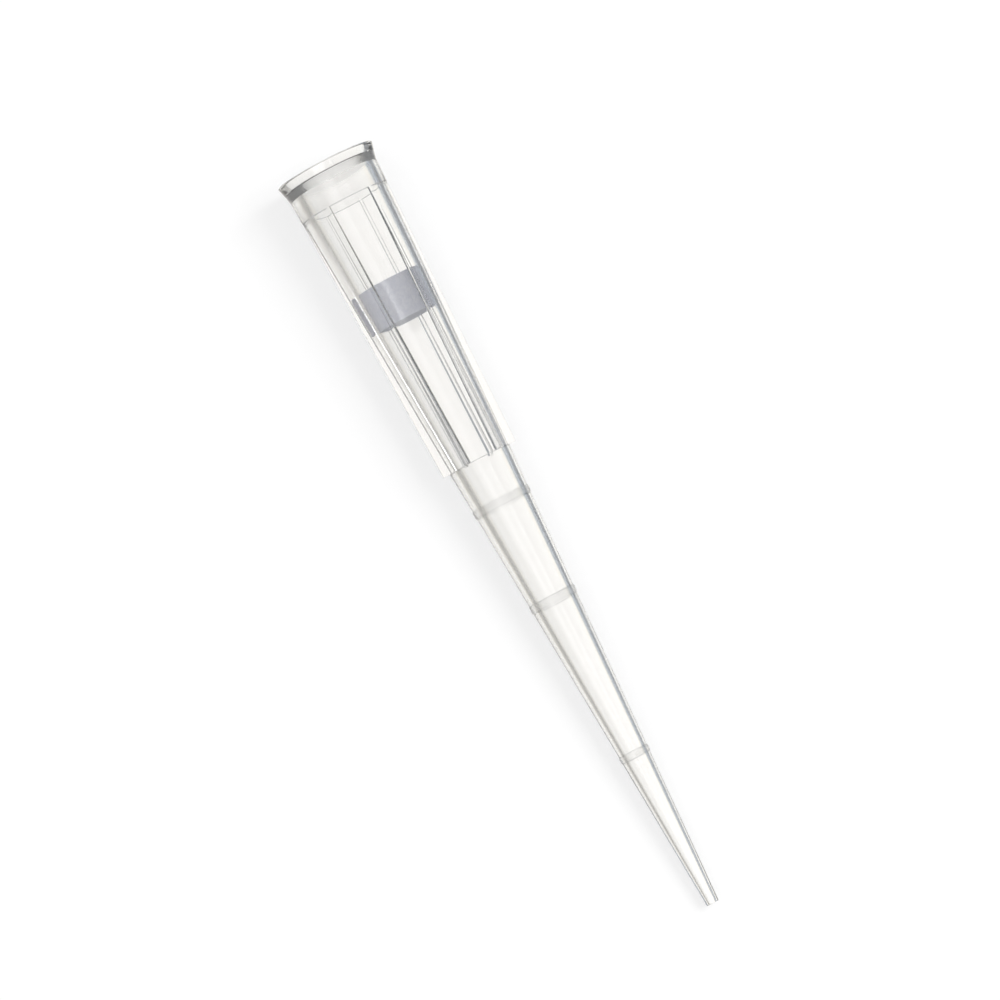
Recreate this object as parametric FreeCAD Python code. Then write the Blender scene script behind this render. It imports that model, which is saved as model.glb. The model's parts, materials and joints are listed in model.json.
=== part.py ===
"""Filter pipette tip: a thin-walled clear moulding with six ribs, and a porous plug pressed into it.

Both pieces are drawn standing on the fine end, with the axis up +Z, and are then laid down in the
pose in which the tip rests on a table: on the lip of its mouth and on the ends of two ribs.
Millimetres. Heights are measured up from the fine end, depths down from the mouth.
"""
import FreeCAD, Part
import math
import os
from FreeCAD import Placement, Rotation, Vector

# ---- overall ----
length = 59.1                  # fine end to mouth

# ---- mouth and collar, outside ----
lip_radius = 3.77              # outer edge of the mouth
lip_rounding = 0.06            # moulded edge round on the lip
flare_depth = 1.20             # the flared lip runs this far down
flare_rounding = 2.5           # the flare runs softly into the collar
collar_top_radius = 3.45       # where the flare ends
collar_depth = 3.07            # mouth to the collar's lower step
collar_base_radius = 3.375
collar_step = 0.10             # how far the collar stands out from the barrel below it

# ---- socket for the pipette's nozzle, inside ----
entry_radius = 3.15            # straight entry at the mouth
entry_depth = 0.62
shoulder_depth = 1.09          # mouth to the foot of the rounded shoulder that guides the nozzle in
shoulder_bulge = 0.078         # the shoulder bows this far into the bore from a straight cone
socket_radius = 2.60           # straight land inside the collar
socket_length = 1.93

# ---- barrel: the ribbed part, tapering to the rib ends ----
rib_end_height = 35.46
barrel_end_radius = 2.26       # between the ribs; the shank below is thicker and makes a ledge
bore_end_radius = 1.847        # end of the barrel's bore, which is a straight taper from the socket
bore_step = 0.117              # the core pin steps in here, at the rib ends

# ---- shank: the plain part, down to the orifice ----
shank_top_radius = 2.38
shank_knee_height = 31.6       # the outside tapers faster above the knee
shank_knee_radius = 2.13
fine_end_radius = 0.465
orifice_radius = 0.25

# ---- ribs ----
rib_count = 6
rib_end_radius = 2.905         # crest radius at the lower end; at the collar the crest is flush
rib_crest_width = 0.29         # at the lower end
rib_draft = 1.5                # degrees, each side

# ---- graduation rings, each at the height where the bore below it holds its volume ----
marks = [(10.0, 0.44), (50.0, 0.53), (100.0, 0.55)]    # volume in cubic mm, width of the band
mark_height = 0.05             # how far each band stands out from the shank

# ---- filter plug ----
filter_depth = 9.40            # mouth to the plug's upper face
filter_length = 3.04

# ---- places that follow from the sizes above ----
collar_base = length - collar_depth
flare_base = length - flare_depth
entry_base = length - entry_depth
socket_top = length - shoulder_depth
socket_base = socket_top - socket_length
shank_bore_radius = bore_end_radius - bore_step
barrel_top_radius = collar_base_radius - collar_step


def radius_between(height, low, high):
    """Radius of a straight taper through two (radius, height) points, at a height."""
    share = (height - low[1]) / (high[1] - low[1])
    return low[0] + share * (high[0] - low[0])


def revolved(outline):
    """Solid of revolution about Z of a closed outline, given as (radius, height) corners.

    A corner with a third value is reached by an arc, which bows by that much to the left of the way.
    """
    sides = []
    for before, corner in zip(outline[-1:] + outline[:-1], outline):
        start, end = Vector(before[0], 0, before[1]), Vector(corner[0], 0, corner[1])
        if len(corner) == 2:
            sides.append(Part.makeLine(start, end))
            continue
        left = Vector(0, -1, 0).cross(end - start).normalize()
        sides.append(Part.Arc(start, (start + end) * 0.5 + left * corner[2], end).toShape())
    return Part.Face(Part.Wire(sides)).revolve(Vector(0, 0, 0), Vector(0, 0, 1), 360)


def edges_round(body, radius, height):
    """The circular edges of a radius at a height."""
    return [edge for edge in body.Edges
            if abs(edge.BoundBox.ZMin - height) < 1e-6 and abs(edge.BoundBox.ZMax - height) < 1e-6
            and abs(edge.BoundBox.XMax - radius) < 1e-4]


def outside():
    """The moulding's outer form without ribs and rings, solid to the axis, with the flare softened."""
    body = revolved([
        (0, 0),
        (fine_end_radius, 0),
        (shank_knee_radius, shank_knee_height),
        (shank_top_radius, rib_end_height),
        (barrel_end_radius, rib_end_height),
        (barrel_top_radius, collar_base),
        (collar_base_radius, collar_base),
        (collar_top_radius, flare_base),
        (lip_radius, length),
        (0, length),
    ])
    body = body.makeFillet(flare_rounding, edges_round(body, collar_top_radius, flare_base))
    return body.makeFillet(lip_rounding, edges_round(body, lip_radius, length))


def rib_half_angle():
    """Half of the angle that a crest spans at its lower end, in radians."""
    return math.asin(0.5 * rib_crest_width / rib_end_radius)


def ribs():
    """Six radial blades with draft, trimmed by a cone so that their crests run flush into the collar."""
    crests = revolved([
        (0, rib_end_height),
        (rib_end_radius, rib_end_height),
        (collar_base_radius, collar_base),
        (0, collar_base),
    ])
    draft = math.tan(math.radians(rib_draft))
    corner = rib_end_radius * math.cos(rib_half_angle())
    reach = collar_base_radius + rib_crest_width
    outer = 0.5 * rib_crest_width - (reach - corner) * draft
    root = 0.5 * rib_crest_width + corner * draft
    section = Part.makePolygon([
        Vector(0, -root, rib_end_height),
        Vector(reach, -outer, rib_end_height),
        Vector(reach, outer, rib_end_height),
        Vector(0, root, rib_end_height),
        Vector(0, -root, rib_end_height),
    ])
    blade = Part.Face(section).extrude(Vector(0, 0, collar_base - rib_end_height))
    blades = []
    for number in range(rib_count):
        turned = blade.copy()
        turned.rotate(Vector(0, 0, 0), Vector(0, 0, 1), (number + 0.5) * 360.0 / rib_count)
        blades.append(turned.common(crests))
    return blades


def mark_centre(volume):
    """Height up to which the shank's tapered bore holds a volume."""
    taper = (shank_bore_radius - orifice_radius) / rib_end_height
    radius = (3 * taper * volume / math.pi + orifice_radius ** 3) ** (1 / 3)
    return (radius - orifice_radius) / taper


def shank_radius(height):
    """Outer radius of the shank at a height."""
    knee = (shank_knee_radius, shank_knee_height)
    if height < shank_knee_height:
        return radius_between(height, (fine_end_radius, 0), knee)
    return radius_between(height, knee, (shank_top_radius, rib_end_height))


def ring(volume, width):
    """One graduation: a low band round the shank, with its faces following the taper."""
    low = mark_centre(volume) - 0.5 * width
    high = low + width
    return revolved([
        (0, low),
        (shank_radius(low) + mark_height, low),
        (shank_radius(high) + mark_height, high),
        (0, high),
    ])


def bore():
    """Everything the core pin leaves open, from the orifice to the mouth."""
    return revolved([
        (0, 0),
        (orifice_radius, 0),
        (shank_bore_radius, rib_end_height),
        (bore_end_radius, rib_end_height),
        (socket_radius, socket_base),
        (socket_radius, socket_top),
        (entry_radius, entry_base, shoulder_bulge),
        (entry_radius, length),
        (0, length),
    ])


def tip_body():
    """The polypropylene moulding."""
    bands = [ring(volume, width) for volume, width in marks]
    return outside().multiFuse(ribs() + bands).cut(bore()).removeSplitter()


def filter_plug():
    """The sintered plug. It is squeezed to the bore's own form, so it meets the wall face to face."""
    top = length - filter_depth
    base = top - filter_length
    slice_of_tip = revolved([(0, base), (lip_radius, base), (lip_radius, top), (0, top)])
    return bore().common(slice_of_tip)


def lip_centre():
    """Radius and height of the centre of the lip's rounding, where it meets the flare and the face."""
    flare = math.atan2(lip_radius - collar_top_radius, flare_depth)
    inset = lip_rounding * (math.tan(flare) + 1 / math.cos(flare))
    return lip_radius - inset, length - lip_rounding


def rib_drop():
    """Distance from the axis down to the ribs' lowest corners, with the axis level.

    The tip settles on two neighbouring ribs, so their middles stand half a rib spacing to each side
    of the lowest line, and each touches with the corner of its crest that faces the other.
    """
    return rib_end_radius * math.cos(math.pi / rib_count - rib_half_angle())


def tilt_onto(drop, height):
    """Tilt in radians of a table that touches the lip and a corner below the axis at a height."""
    lip = lip_centre()
    across = lip[0] - drop
    along = lip[1] - height
    return math.atan2(across, along) + math.asin(lip_rounding / math.hypot(across, along))


def resting_corner():
    """The corner, as (drop, height), that meets the table together with the lip: the rib ends here."""
    corners = [
        (rib_drop(), rib_end_height),
        (shank_top_radius, rib_end_height),
        (shank_knee_radius, shank_knee_height),
        (fine_end_radius, 0),
    ]
    for volume, width in marks:
        low = mark_centre(volume) - 0.5 * width
        corners.append((shank_radius(low) + mark_height, low))
        corners.append((shank_radius(low + width) + mark_height, low + width))
    return min(corners, key=lambda corner: tilt_onto(*corner))


def resting_place():
    """Placement that lays the upright tip on the plane Z = 0, mouth towards -X and fine end towards +X.

    The origin is under the middle of the tip's length and width.
    """
    drop, height = resting_corner()
    tilt = tilt_onto(drop, height)
    lip = lip_centre()
    lift = drop * math.cos(tilt) - height * math.sin(tilt)
    fine_end = fine_end_radius * math.sin(tilt)
    mouth = -lip[0] * math.sin(tilt) - lip[1] * math.cos(tilt) - lip_rounding
    turn = Rotation(Vector(0, 1, 0), math.degrees(tilt) - 90)
    return Placement(Vector(-0.5 * (fine_end + mouth), 0, lift), turn)


def main():
    os.makedirs("parts", exist_ok=True)
    place = resting_place()
    for name, shape in (("tip_body", tip_body()), ("filter_plug", filter_plug())):
        shape.Placement = place.multiply(shape.Placement)
        shape.exportStep(f"parts/{name}.step")
        print(f"{name}: {shape.Volume:.2f} cubic mm")
    print(f"tilt {math.degrees(tilt_onto(*resting_corner())):.3f} degrees")
    for name, height in (("middle of the socket", 0.5 * (socket_top + socket_base)),
                         ("mouth", length),
                         ("rib ends", rib_end_height),
                         ("orifice", 0)):
        spot = place.multVec(Vector(0, 0, height))
        print(f"{name}, on the axis: {spot.x:.4f}, {spot.y:.4f}, {spot.z:.4f}")


main()
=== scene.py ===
"""A filter pipette tip on a pale table: the clear moulding, its porous plug, the table and the light."""

import json
import math

import bmesh
import bpy
from mathutils import Matrix, Vector, noise


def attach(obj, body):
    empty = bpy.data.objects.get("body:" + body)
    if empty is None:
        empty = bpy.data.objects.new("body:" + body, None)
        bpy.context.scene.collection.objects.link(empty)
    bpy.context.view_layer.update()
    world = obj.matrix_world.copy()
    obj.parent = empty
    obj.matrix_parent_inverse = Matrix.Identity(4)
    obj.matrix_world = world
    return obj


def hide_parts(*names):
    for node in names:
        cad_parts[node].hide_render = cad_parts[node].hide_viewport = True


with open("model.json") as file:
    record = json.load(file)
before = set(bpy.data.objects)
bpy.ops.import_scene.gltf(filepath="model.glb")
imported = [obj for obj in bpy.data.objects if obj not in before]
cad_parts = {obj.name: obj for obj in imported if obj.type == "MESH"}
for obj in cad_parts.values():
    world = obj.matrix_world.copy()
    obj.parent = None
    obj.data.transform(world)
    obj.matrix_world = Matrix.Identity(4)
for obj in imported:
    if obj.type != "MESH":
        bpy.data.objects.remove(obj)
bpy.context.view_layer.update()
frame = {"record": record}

# ---- How the tip lies ----
# The tip rests on the lip of its mouth and on the ends of two ribs. The record gives the middle of
# the socket for the pipette's nozzle and the way that the mouth points, and all else follows.
mm = 0.001
length = 59.1                  # fine end to mouth, in millimetres as every size below
shoulder_depth = 1.09          # mouth to the start of the socket
socket_length = 1.93
socket = next(mount for mount in frame["record"]["mounts"] if mount["name"] == "socket")
to_mouth = Vector(socket["axis"]).normalized()
sideways = Vector((0, 1, 0))
upward = sideways.cross(to_mouth)
fine_end = Vector(socket["pos_m"]) - to_mouth * (length - shoulder_depth - 0.5 * socket_length) * mm
laid_down = Matrix.Translation(fine_end) @ Matrix((upward, sideways, to_mouth)).transposed().to_4x4()
laid_down = laid_down @ Matrix.Scale(mm, 4)

# ---- The tip body ----
# One injection moulding in natural polypropylene: a thin tapered tube with a collar and a flared
# lip at the mouth, six ribs down the barrel, and three low graduation rings round the shank.
lip_radius = 3.77
flare_base = length - 1.20
collar_top_radius = 3.45
collar_base = length - 3.07
collar_base_radius = 3.375
barrel_top_radius = 3.275
rib_end_height = 35.46
barrel_end_radius = 2.26
shank_top_radius = 2.38
shank_knee_height = 31.6
shank_knee_radius = 2.13
fine_end_radius = 0.465
flare_rounding = 2.5
entry_radius = 3.15
entry_base = length - 0.60
lead_in_radius = 3.07                                    # of the cone that leads the nozzle in, at its top
lead_in_top = length - 0.64
lead_in_base = length - 1.21
socket_top = length - shoulder_depth
socket_base = socket_top - socket_length
socket_radius = 2.60
bore_end_radius = 1.847
shank_bore_radius = 1.73
orifice_radius = 0.25
rib_count = 6
rib_end_radius = 2.905
rib_crest_width = 0.29
rib_draft = math.tan(math.radians(1.5))
marks = [(11.87, 0.44), (24.24, 0.53), (32.05, 0.55)]    # middle of the band, width of the band
mark_height = 0.05
bore_shift = Vector((0.0, 0.11, 0.0))                    # the core pin leans a little to one side
crest_edge, root_edge = 0.04, 0.05                       # rounding along the ribs
shank_strip, bore_strip = 1.6, 0.8                       # facets that run on from a rib, in its half widths
flow_width, flow_depth = 1.11, 0.004                     # of the faint flow marks in the moulded skin
hazy_reach = 29.5 * mm                                   # metres from the middle of the tip to its ends
gap_steps, crest_steps, edge_steps = 56, 8, 4            # facets between ribs, over a crest and round an edge


def between(height, low, high):
    """Radius of a straight taper through two (radius, height) points."""
    share = (height - low[1]) / (high[1] - low[1])
    return low[0] + share * (high[0] - low[0])


def round_corner(before, corner, after, radius, steps):
    """Points of the arc that rounds a corner of a flat outline, from the first side to the second."""
    to_before = (before - corner).normalized()
    to_after = (after - corner).normalized()
    half = 0.5 * to_before.angle(to_after)
    reach = min(radius / math.tan(half), 0.45 * (before - corner).length, 0.45 * (after - corner).length)
    centre = corner + (to_before + to_after).normalized() * (reach / math.cos(half))
    start = corner + to_before * reach - centre
    end = corner + to_after * reach - centre
    sweep = start.angle_signed(end)
    return [centre + Matrix.Rotation(-sweep * step / steps, 2) @ start for step in range(steps + 1)]


def drawn_outline(corners):
    """Outline of a turned form. Corners are (radius, height, rounding), and a rounding of 0 stays sharp."""
    spots = [Vector(corner[:2]) for corner in corners]
    points = []
    for number, spot in enumerate(spots):
        rounding = corners[number][2]
        if rounding == 0:
            points.append(spot)
            continue
        before = spots[number - 1]
        after = spots[(number + 1) % len(spots)]
        turn = math.pi - (before - spot).angle(after - spot)
        points += round_corner(before, spot, after, rounding, max(2, math.ceil(turn / 0.3)))
    return points


def at_angle(radius, angle):
    return Vector((radius * math.cos(angle), radius * math.sin(angle)))


def flank(barrel, crest):
    """One side of a rib, from the barrel out to the crest, for a rib that stands along +X."""
    corner = rib_end_radius * math.cos(math.asin(0.5 * rib_crest_width / rib_end_radius))

    def spot(radius):
        across = 0.5 * rib_crest_width
        for _ in range(4):
            along = math.sqrt(radius * radius - across * across)
            across = 0.5 * rib_crest_width + (corner - along) * rib_draft
        return Vector((along, across))

    root, top = spot(barrel), spot(crest)
    rise = crest - barrel
    on_barrel = at_angle(barrel, math.atan2(root.y, root.x) + rise / barrel)
    on_crest = at_angle(crest, math.atan2(top.y, top.x) * 0.3)
    low = round_corner(on_barrel, root, top, min(root_edge, 0.4 * rise), edge_steps)
    high = round_corner(root, top, on_crest, min(crest_edge, 0.4 * rise), edge_steps)
    rim = (shank_top_radius - low[-1].length) / (high[0].length - low[-1].length)
    rim = min(max(rim, 0.1), 0.9)                        # where the ledge's rim crosses the flat
    return low + [low[-1].lerp(high[0], rim), low[-1].lerp(high[0], 0.5 + 0.5 * rim)] + high


flank_count = 2 * (edge_steps + 1) + 2
rim_place = edge_steps + 1                               # the flank's corner over the ledge's rim
sector = 2 * math.pi / rib_count


def plain_row(mesh, radius, height, half_angle):
    """A round section. Its corners at each rib's two sides stand for that whole flank of a ribbed row."""
    row = []
    for number in range(rib_count):
        middle = (number + 0.5) * sector
        crest = [
            mesh.verts.new((*at_angle(radius, middle + half_angle * (2 * step / crest_steps - 1)), height))
            for step in range(crest_steps + 1)]
        row.append({"crest": crest, "left": [crest[0]] * flank_count, "right": [crest[-1]] * flank_count})
    for number in range(rib_count):
        first, last = row[number - 1]["crest"][-1], row[number]["crest"][0]
        start = (number - 0.5) * sector + half_angle
        span = sector - 2 * half_angle
        row[number]["gap"] = [first] + [
            mesh.verts.new((*at_angle(radius, start + span * step / gap_steps), height))
            for step in range(1, gap_steps)] + [last]
    return row


def ribbed_row(mesh, barrel, crest, height):
    """A section through the ribs: arcs of the barrel, and on each rib two flanks and a crest."""
    side = flank(barrel, crest)
    foot = math.atan2(side[0].y, side[0].x)
    top = math.atan2(side[-1].y, side[-1].x)
    row = []
    for number in range(rib_count):
        middle = (number + 0.5) * sector
        turn = Matrix.Rotation(middle, 2)
        left = [mesh.verts.new((*(turn @ Vector((spot.x, -spot.y))), height)) for spot in side]
        right = [mesh.verts.new((*(turn @ spot), height)) for spot in reversed(side)]
        inner = [mesh.verts.new((*at_angle(crest, middle + top * (2 * step / crest_steps - 1)), height))
                 for step in range(1, crest_steps)]
        row.append({"left": left, "crest": [left[-1]] + inner + [right[0]], "right": right})
    for number in range(rib_count):
        first, last = row[number - 1]["right"][-1], row[number]["left"][0]
        start = (number - 0.5) * sector + foot
        span = sector - 2 * foot
        row[number]["gap"] = [first] + [
            mesh.verts.new((*at_angle(barrel, start + span * step / gap_steps), height))
            for step in range(1, gap_steps)] + [last]
    return row


def ledge_row(mesh, ribbed, height):
    """The rim of the ledge that the ribs stand on, with the flat ledge inside it and the rib ends outside."""
    def arc(start, end, steps):
        turn = math.atan2(start.co.y, start.co.x)
        span = (math.atan2(end.co.y, end.co.x) - turn) % (2 * math.pi)
        return [mesh.verts.new((*at_angle(shank_top_radius, turn + span * step / steps), height))
                for step in range(1, steps)]
    row = []
    for number in range(rib_count):
        last, rib = ribbed[number - 1], ribbed[number]
        before = last["right"][-1 - rim_place]
        left, right = rib["left"][rim_place], rib["right"][-1 - rim_place]
        under_gap, under_rib = arc(before, left, gap_steps), arc(left, right, crest_steps)
        mesh.faces.new(last["right"][-1 - rim_place:] + rib["gap"][1:-1]
                       + rib["left"][:rim_place + 1] + under_gap[::-1])
        mesh.faces.new(rib["left"][rim_place:] + rib["crest"][1:-1]
                       + rib["right"][:flank_count - rim_place] + under_rib[::-1])
        row.append({"gap": [before] + under_gap + [left], "crest": [left] + under_rib + [right],
                    "left": [left] * flank_count, "right": [right] * flank_count})
    return row


def join_rows(mesh, one, other):
    """Skins two neighbouring sections, and lets a quad shrink to a triangle where corners are shared."""
    def columns(row):
        return [vert for part in row for group in ("gap", "left", "crest", "right") for vert in part[group]]
    a, b = columns(one), columns(other)
    for number in range(len(a)):
        after = (number + 1) % len(a)
        corners = []
        for vert in (a[number], a[after], b[after], b[number]):
            if vert not in corners:
                corners.append(vert)
        if len(corners) > 2:
            mesh.faces.new(corners)


def shank_radius(height):
    knee = (shank_knee_radius, shank_knee_height)
    if height < shank_knee_height:
        return between(height, (fine_end_radius, 0), knee)
    return between(height, knee, (shank_top_radius, rib_end_height))


def mark_corners(middle, width):
    low, high = middle - 0.5 * width, middle + 0.5 * width
    return [(shank_radius(low), low, 0.015), (shank_radius(low) + mark_height, low, 0.02),
            (shank_radius(high) + mark_height, high, 0.02), (shank_radius(high), high, 0.015)]


def moulded_body():
    """Mesh of the whole moulding, skinned from section to section: up the outside and down the bore."""
    barrel_line = (barrel_end_radius, rib_end_height), (barrel_top_radius, collar_base)
    crest_line = (rib_end_radius, rib_end_height), (collar_base_radius, collar_base)
    crest_angle = math.atan2(0.5 * rib_crest_width, rib_end_radius)
    outline = drawn_outline([
        (orifice_radius, 0, 0.02), (fine_end_radius, 0, 0.04),
        *mark_corners(*marks[0]), *mark_corners(*marks[1]),
        (shank_knee_radius, shank_knee_height, 0.1), *mark_corners(*marks[2]),
        (shank_top_radius, rib_end_height, 0), (barrel_end_radius, rib_end_height, 0),
        (barrel_top_radius, collar_base, 0.05), (collar_base_radius, collar_base, 0.05),
        (collar_top_radius, flare_base, flare_rounding), (lip_radius, length, 0.06),
        (entry_radius, length, 0.03), (entry_radius, entry_base, 0.02),
        (lead_in_radius, lead_in_top, 0.02), (socket_radius, lead_in_base, 0.03),
        (socket_radius, socket_base, 0.3),
        (bore_end_radius, rib_end_height, 0.02), (shank_bore_radius, rib_end_height, 0.02)])
    ledge = outline.index(Vector((shank_top_radius, rib_end_height)))
    collar = next(number for number, spot in enumerate(outline) if spot.x >= collar_base_radius)
    mesh = bmesh.new()
    rows = [plain_row(mesh, *spot, shank_strip * crest_angle) for spot in outline[:ledge]]
    ribbed = []
    for turn in (math.radians(15 * step) for step in range(7)):          # round the rib's end to its crest
        height = rib_end_height + crest_edge * (1 - math.cos(turn))
        crest = rib_end_radius - crest_edge * (1 - math.sin(turn))
        ribbed.append(ribbed_row(mesh, between(height, *barrel_line), crest, height))
    for radius, height in outline[ledge + 2:collar]:
        ribbed.append(ribbed_row(mesh, radius, between(min(height, collar_base), *crest_line), height))
    rows.append(ledge_row(mesh, ribbed[0], rib_end_height))
    rows += ribbed + [plain_row(mesh, *spot, bore_strip * crest_angle) for spot in outline[collar:]]
    rim = max(range(len(outline)), key=lambda number: outline[number].x)
    for row, spot in zip(rows[len(rows) - len(outline) + rim:], outline[rim:]):
        if spot.x <= entry_radius:
            for vert in {vert for part in row for group in ("gap", "crest") for vert in part[group]}:
                vert.co += bore_shift
    for number in range(len(rows)):
        if number != ledge:
            join_rows(mesh, rows[number], rows[(number + 1) % len(rows)])
    bmesh.ops.recalc_face_normals(mesh, faces=mesh.faces)
    return mesh


def add_node(owner, kind, settings=None, links=None):
    """Adds one node, sets its values by name, and links its inputs to the given outputs."""
    node = owner.node_tree.nodes.new(kind)
    for name, value in (settings or {}).items():
        if isinstance(name, int) or name in node.inputs:
            node.inputs[name].default_value = value
        else:
            setattr(node, name, value)
    for name, output in (links or {}).items():
        owner.node_tree.links.new(output, node.inputs[name])
    return node


def colour(code):
    """Linear colour of an sRGB hex code such as "#c8ccd0"."""
    values = [int(code[place:place + 2], 16) / 255 for place in (1, 3, 5)]
    return [v / 12.92 if v <= 0.04045 else ((v + 0.055) / 1.055) ** 2.4 for v in values] + [1.0]


def bare_material(name):
    """A new material that has no nodes yet."""
    material = bpy.data.materials.new(name)
    material.use_nodes = True
    material.node_tree.nodes.clear()
    return material


def moulded_polypropylene(name, roughness, mouth_haze, fine_haze):
    """Natural polypropylene as it leaves the mould. Haze is the share of light that its crystals scatter."""
    material = bare_material(name)
    place = add_node(material, "ShaderNodeTexCoord")
    flow = add_node(material, "ShaderNodeTexNoise", {"Scale": 1000 / flow_width, "Detail": 3.0},
                    {"Vector": place.outputs["Object"]})
    skin = add_node(material, "ShaderNodeBump", {"Strength": 0.01, "Distance": flow_depth * mm},
                    {"Height": flow.outputs["Fac"]})
    plastic = add_node(material, "ShaderNodeBsdfPrincipled", {
        "Base Color": colour("#ffffff"), "Roughness": roughness, "IOR": 1.49,
        "Transmission Weight": 1.0}, {"Normal": skin.outputs["Normal"]})
    crystals = add_node(material, "ShaderNodeBsdfTranslucent", {"Color": colour("#f8f8f6")})
    along_tip = add_node(material, "ShaderNodeSeparateXYZ", links={"Vector": place.outputs["Object"]})
    haze = add_node(material, "ShaderNodeMapRange", {
        1: -hazy_reach, 2: hazy_reach, 3: mouth_haze, 4: fine_haze}, {0: along_tip.outputs["X"]})
    hazy = add_node(material, "ShaderNodeMixShader", links={
        0: haze.outputs["Result"], 1: plastic.outputs["BSDF"], 2: crystals.outputs["BSDF"]})
    tint = add_node(material, "ShaderNodeVolumeAbsorption", {"Color": colour("#d8dde2"), "Density": 12.0})
    add_node(material, "ShaderNodeOutputMaterial", links={
        "Surface": hazy.outputs["Shader"], "Volume": tint.outputs["Volume"]})
    return material


def laid_piece(name, mesh, crisp):
    """Lays a finished mesh down in its place, shaded smooth but for edges past the crisp angle in degrees."""
    for face in mesh.faces:
        face.smooth = True
    mesh.transform(laid_down)
    data = bpy.data.meshes.new(name)
    mesh.to_mesh(data)
    mesh.free()
    data.set_sharp_from_angle(angle=math.radians(crisp))
    piece = bpy.data.objects.new(name, data)
    bpy.context.scene.collection.objects.link(piece)
    return piece


mesh = moulded_body()
for face in mesh.faces:
    middle = face.calc_center_median()
    in_band = any(abs(middle.z - height) <= 0.5 * width for height, width in marks)
    if lead_in_base + 0.01 < middle.z < lead_in_top and (middle - bore_shift).xy.length < entry_radius:
        face.material_index = 2
    if in_band and middle.xy.length > shank_radius(middle.z) + 0.4 * mark_height:
        face.material_index = 1
body = laid_piece("moulded_body", mesh, 35)
# From a polished mould: clear with a smooth gloss, so edges show as thin lines. The wall gets thinner towards
# the fine end, and the faint milkiness goes with it.
body.data.materials.append(moulded_polypropylene("polished_polypropylene", 0.02, 0.035, 0.005))
# From a spark-eroded strip of the mould: the rings scatter light, and show as soft pale-grey bands.
body.data.materials.append(moulded_polypropylene("frosted_polypropylene", 0.24, 0.035, 0.005))
# From the blasted shoulder of the core pin: the lead-in into the socket looks misty.
body.data.materials.append(moulded_polypropylene("blasted_polypropylene", 0.28, 0.12, 0.12))
even = body.modifiers.new("even_shading", "WEIGHTED_NORMAL")
even.keep_sharp = True
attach(body, "root")
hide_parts("tip_body")

# ---- The filter plug ----
# A short plug of sintered polyethylene grains, grey-blue and matt, pushed down the bore until it
# stays by its own squeeze. It keeps aerosol out of the pipette.
plug_top = length - 9.40
plug_length = 3.04
plug_gap, plug_touch = 0.02, 0.05                        # air round it, and its swell where it meets the wall
edge_roll = 0.01                                         # of its two rims, as a share of the radius
grain_width, grain_height, dent_depth = 0.12, 0.012, 0.02
side_rings, around = 24, 180                             # rings of corners up the side, and corners in a ring
end_rings, end_step = 8, 0.12                            # rings on each end, and their spacing as a share


def plug_spot(share, angle, height):
    """One point of the plug's skin, its share of the radius from the axis, roughened by the grains."""
    wall = between(height, (bore_end_radius, rib_end_height), (socket_radius, socket_base))
    rib = 0.5 + 0.5 * math.cos(rib_count * (angle - 0.5 * sector))
    radius = share * (wall - plug_gap + plug_touch * max(0.0, 2 * rib - 1))
    spot = Vector((*at_angle(radius, angle), height)) + bore_shift
    outward = Vector((*at_angle(share, angle), 1 - share))
    return spot + grain_height * noise.noise(spot / grain_width) * outward


mesh = bmesh.new()
rings = [(end_step * step, plug_top - plug_length) for step in range(1, end_rings + 1)]
for step in range(side_rings + 1):
    full = min(1, step, side_rings - step)
    rings.append((1 - edge_roll + edge_roll * full, plug_top - plug_length * (1 - step / side_rings)))
rings += [(end_step * step, plug_top) for step in range(end_rings, 0, -1)]
skins = [[mesh.verts.new(plug_spot(share, 2 * math.pi * step / around, height)) for step in range(around)]
         for share, height in rings]
for low, high in zip(skins, skins[1:]):
    for step in range(around):
        mesh.faces.new((low[step - 1], low[step], high[step], high[step - 1]))
mesh.faces.new(skins[0][::-1])
mesh.faces.new(skins[-1])
bmesh.ops.recalc_face_normals(mesh, faces=mesh.faces)
plug = laid_piece("porous_plug", mesh, 50)

# Polyethylene grains melted together at their corners: matt all over, with a shade and a dent for each grain.
sintered = bare_material("sintered_polyethylene")
place = add_node(sintered, "ShaderNodeTexCoord")
grain = add_node(sintered, "ShaderNodeTexVoronoi", {"Scale": 1000 / grain_width},
                 {"Vector": place.outputs["Object"]})
cells = add_node(sintered, "ShaderNodeSeparateColor", links={"Color": grain.outputs["Color"]})
shade = add_node(sintered, "ShaderNodeValToRGB", links={"Fac": cells.outputs["Red"]})
shade.color_ramp.elements[0].color = colour("#e2e4ee")
shade.color_ramp.elements[1].color = colour("#eff0f7")
dents = add_node(sintered, "ShaderNodeBump", {"Strength": 0.4, "Distance": dent_depth * mm, "invert": True},
                 {"Height": grain.outputs["Distance"]})
porous = add_node(sintered, "ShaderNodeBsdfPrincipled", {"Roughness": 0.9}, {
    "Base Color": shade.outputs["Color"], "Normal": dents.outputs["Normal"]})
add_node(sintered, "ShaderNodeOutputMaterial", links={"Surface": porous.outputs["BSDF"]})
plug.data.materials.append(sintered)
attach(plug, "root")
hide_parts("filter_plug")

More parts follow.
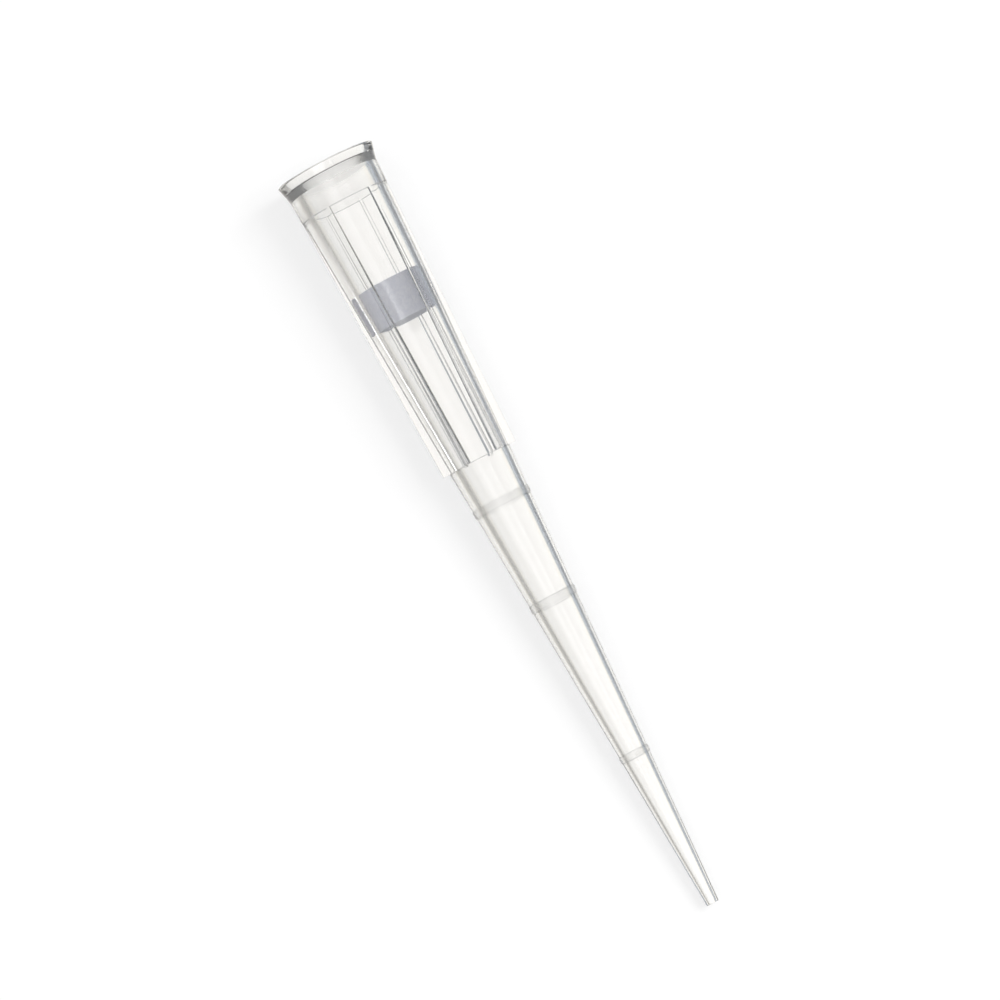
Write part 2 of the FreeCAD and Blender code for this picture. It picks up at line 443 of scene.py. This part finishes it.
# ---- The table ----
# A wide white table, plain pale paper to look at. To the light in the clear walls it is a thin white
# sheet that lets most of the light up from below, as the top of a light table does.
board = bpy.data.meshes.new("table")
side = 2                                                 # metres from the middle to each edge
corners = [(-side, -side, 0), (side, -side, 0), (side, side, 0), (-side, side, 0)]
board.from_pydata(corners, [], [(0, 1, 2, 3)])
table = bpy.data.objects.new("table", board)
bpy.context.scene.collection.objects.link(table)
white = bare_material("frosted_sheet")
frosting = add_node(white, "ShaderNodeBsdfDiffuse", {"Color": colour("#f4f4f4")})
clear = add_node(white, "ShaderNodeBsdfTransparent", {"Color": colour("#ffffff")})
sheet = add_node(white, "ShaderNodeMixShader", {"Fac": 0.78}, {
    1: frosting.outputs["BSDF"], 2: clear.outputs["BSDF"]})
paper = add_node(white, "ShaderNodeBsdfDiffuse", {"Color": colour("#959595")})
lit = add_node(white, "ShaderNodeEmission", {"Color": colour("#ffffff"), "Strength": 0.65})
card = add_node(white, "ShaderNodeAddShader", links={0: paper.outputs["BSDF"], 1: lit.outputs["Emission"]})
path = add_node(white, "ShaderNodeLightPath")
top = add_node(white, "ShaderNodeMixShader", links={
    0: path.outputs["Is Camera Ray"], 1: sheet.outputs["Shader"], 2: card.outputs["Shader"]})
add_node(white, "ShaderNodeOutputMaterial", links={"Surface": top.outputs["Shader"]})
board.materials.append(white)

# ---- The light ----
# The studio all round, as its brightness in each direction. Swung round the tip's length it is bright below
# and overhead and dim low at the sides, most of all on the right. It also falls off towards the tip's ends.
brightest = 2.4                                          # the brightness that white stands for below
brightness = [                                           # by degrees: 0 straight down, 90 level on the right
    (-180, "#a9a9a9"), (-172, "#a9a9a9"), (-166, "#ffffff"), (-142, "#ffffff"), (-134, "#a9a9a9"),
    (-91, "#898989"), (-89, "#777777"), (-62, "#66645f"), (-44, "#65635e"), (-32, "#807d77"),
    (-22, "#a4a19a"), (-10, "#b2b1ae"), (10, "#b6b4b1"), (20, "#bfbeba"), (26, "#c2beb5"), (31, "#afaca4"),
    (35, "#6f7780"), (39, "#383c41"), (48, "#222528"), (55, "#3d4248"), (62, "#646b73"), (72, "#767f88"),
    (81, "#818b95"), (89, "#8f8f8f"), (91, "#7e7e7e"), (125, "#8e8e8e"), (180, "#a9a9a9")]
falloff = [                                              # from the mouth's way, -1, to the fine end's, 1
    (-1.0, 0.35), (-0.6, 0.50), (-0.35, 0.68), (-0.25, 0.86), (-0.17, 1.0), (0.0, 1.0), (0.28, 1.02),
    (0.36, 0.86), (0.6, 0.58), (1.0, 0.40)]


def fill_ramp(ramp, stops):
    """Gives a colour ramp its stops, each a place from 0 to 1 and a colour."""
    while len(ramp.elements) < len(stops):
        ramp.elements.new(0.5)
    for element, (place, shade) in zip(ramp.elements, stops):
        element.position = place
    for element, (place, shade) in zip(ramp.elements, stops):
        element.color = shade


room = bpy.data.worlds.new("studio")
bpy.context.scene.world = room
room.use_nodes = True
room.node_tree.nodes.clear()
facing = add_node(room, "ShaderNodeTexCoord")
split = add_node(room, "ShaderNodeSeparateXYZ", links={"Vector": facing.outputs["Generated"]})
below = add_node(room, "ShaderNodeMath", {"operation": "MULTIPLY", 1: -1.0}, {0: split.outputs["Z"]})
swing = add_node(room, "ShaderNodeMath", {"operation": "ARCTAN2"},
                 {0: split.outputs["Y"], 1: below.outputs["Value"]})
share = add_node(room, "ShaderNodeMapRange", {1: -math.pi, 2: math.pi}, {0: swing.outputs["Value"]})
round_tip = add_node(room, "ShaderNodeValToRGB", links={0: share.outputs["Result"]})
fill_ramp(round_tip.color_ramp, [((angle + 180) / 360, colour(code)) for angle, code in brightness])
endways = add_node(room, "ShaderNodeMapRange", {1: -1.0, 2: 1.0}, {0: split.outputs["X"]})
fall = add_node(room, "ShaderNodeValToRGB", links={0: endways.outputs["Result"]})
fill_ramp(fall.color_ramp, [(0.5 * (way + 1), (level, level, level, 1)) for way, level in falloff])
power = add_node(room, "ShaderNodeMath", {"operation": "MULTIPLY", 1: brightest}, {0: fall.outputs["Color"]})
# Along the tip's length the sides are as bright as below, so that the clear walls stay clear seen end on.
slant = add_node(room, "ShaderNodeMath", {"operation": "ABSOLUTE"}, {0: split.outputs["X"]})
evenly = add_node(room, "ShaderNodeMapRange", {1: 0.42, 2: 0.62}, {0: slant.outputs["Value"]})
evened = add_node(room, "ShaderNodeMixRGB", {"Color2": colour("#b4b4b4")},
                  {"Fac": evenly.outputs["Result"], "Color1": round_tip.outputs["Color"]})
glow = add_node(room, "ShaderNodeBackground",
                links={"Color": evened.outputs["Color"], "Strength": power.outputs["Value"]})
add_node(room, "ShaderNodeOutputWorld", links={"Surface": glow.outputs["Background"]})
bpy.context.scene.view_settings.view_transform = "Standard"

# A soft box leans in from above on the right. It lights only the table, so that the tip's soft shadow falls
# to its left.
lean, away = math.radians(-35), 0.6                      # away from the tip's middle, in metres
lamp = bpy.data.lights.new("soft_box", "AREA")
lamp.shape, lamp.size, lamp.size_y, lamp.energy = "RECTANGLE", 0.30, 0.36, 2.1
soft_box = bpy.data.objects.new("soft_box", lamp)
soft_box.matrix_world = Matrix.Rotation(lean, 4, "X") @ Matrix.Translation((0, 0, away))
bpy.context.scene.collection.objects.link(soft_box)
shaded = bpy.data.collections.new("shaded_by_soft_box")
shaded.objects.link(table)
soft_box.light_linking.receiver_collection = shaded

# ---- The camera ----
# It looks almost straight down on the tip, leaning a little to the left and towards the fine end.
distance = 0.3926                                        # metres
lean_along, lean_across, roll = math.radians(2.2), math.radians(9.0), math.radians(27.736)
aim_back, aim_aside = 2.684, 0.054                       # millimetres from the tip's middle
down_the_tip = -to_mouth
back = (upward * math.cos(lean_across) - sideways * math.sin(lean_across)) * math.cos(lean_along)
back += down_the_tip * math.sin(lean_along)
along = (down_the_tip - back * down_the_tip.dot(back)).normalized()
across = back.cross(along)
middle = fine_end + to_mouth * (0.5 * length * mm)
aim = middle - (along * aim_back + across * aim_aside) * mm
right = along * math.sin(roll) + across * math.cos(roll)
up = across * math.sin(roll) - along * math.cos(roll)
lens = bpy.data.cameras.new("camera")
lens.sensor_width = 36.0
lens.lens = 199.44
lens.clip_start = 0.01
camera = bpy.data.objects.new("camera", lens)
turned = Matrix((right, up, back)).transposed().to_4x4()
camera.matrix_world = Matrix.Translation(aim + back * distance) @ turned
bpy.context.scene.collection.objects.link(camera)
bpy.context.scene.camera = camera
